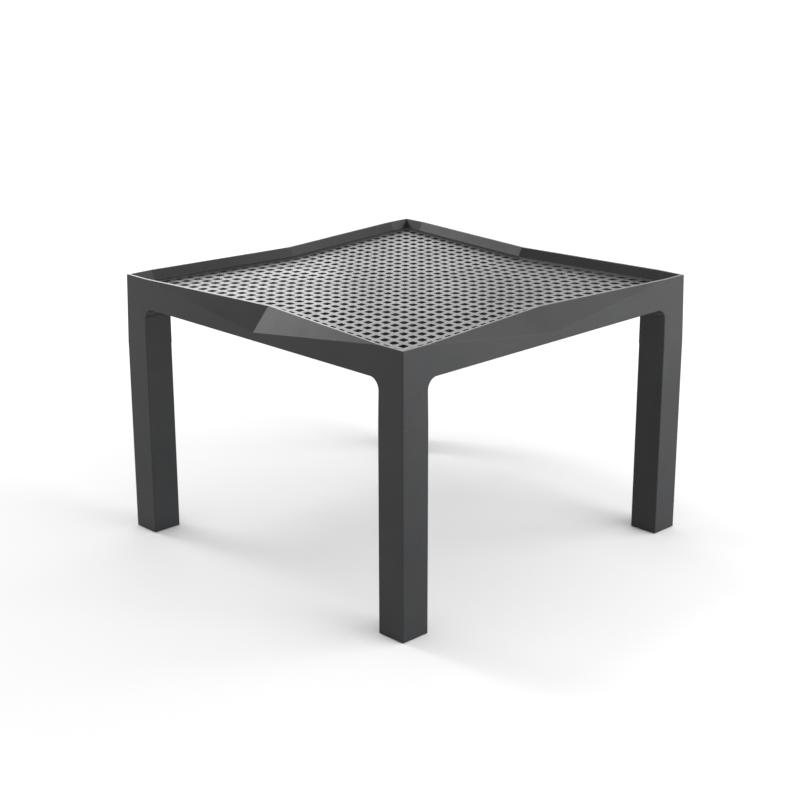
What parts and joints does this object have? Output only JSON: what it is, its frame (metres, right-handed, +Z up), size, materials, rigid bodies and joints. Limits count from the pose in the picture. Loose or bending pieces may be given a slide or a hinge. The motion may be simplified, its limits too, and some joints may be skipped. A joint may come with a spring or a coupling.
{
  "type": "low garden table with grate top",
  "caption": "Low square outdoor table with a lift-out perforated grate in a faceted rim, on square plug-in legs.",
  "frame": {"origin": "on the floor, under the middle of the table", "axes": "+Z up; -Y is the front; each side is the same, turned by a quarter"},
  "size_m": [0.6, 0.6, 0.4084],
  "materials": {
    "frame_resin": "fine-grained anthracite moulded resin",
    "grate_resin": "fine-grained anthracite moulded resin",
    "foot_plastic": "smooth black plastic",
    "pad_rubber": "soft black rubber",
    "screw_steel": "bright zinc-plated steel"
  },
  "bodies": {
    "table": {"top_frame": "frame_resin", "leg_front_right": "frame_resin", "leg_back_right": "frame_resin", "leg_back_left": "frame_resin", "leg_front_left": "frame_resin", "foot_cap_front_right": "foot_plastic", "foot_cap_back_right": "foot_plastic", "foot_cap_back_left": "foot_plastic", "foot_cap_front_left": "foot_plastic", "grate_pad_front_right": "pad_rubber", "grate_pad_back_right": "pad_rubber", "grate_pad_back_left": "pad_rubber", "grate_pad_front_left": "pad_rubber", "leg_screws": "screw_steel"},
    "grate": {"grate": "grate_resin"}
  },
  "joints": [
    {"name": "grate_lift", "type": "slide", "parent": "table", "child": "grate", "axis": [0, 0, 1], "range_m": [0, 0.12]}
  ]
}
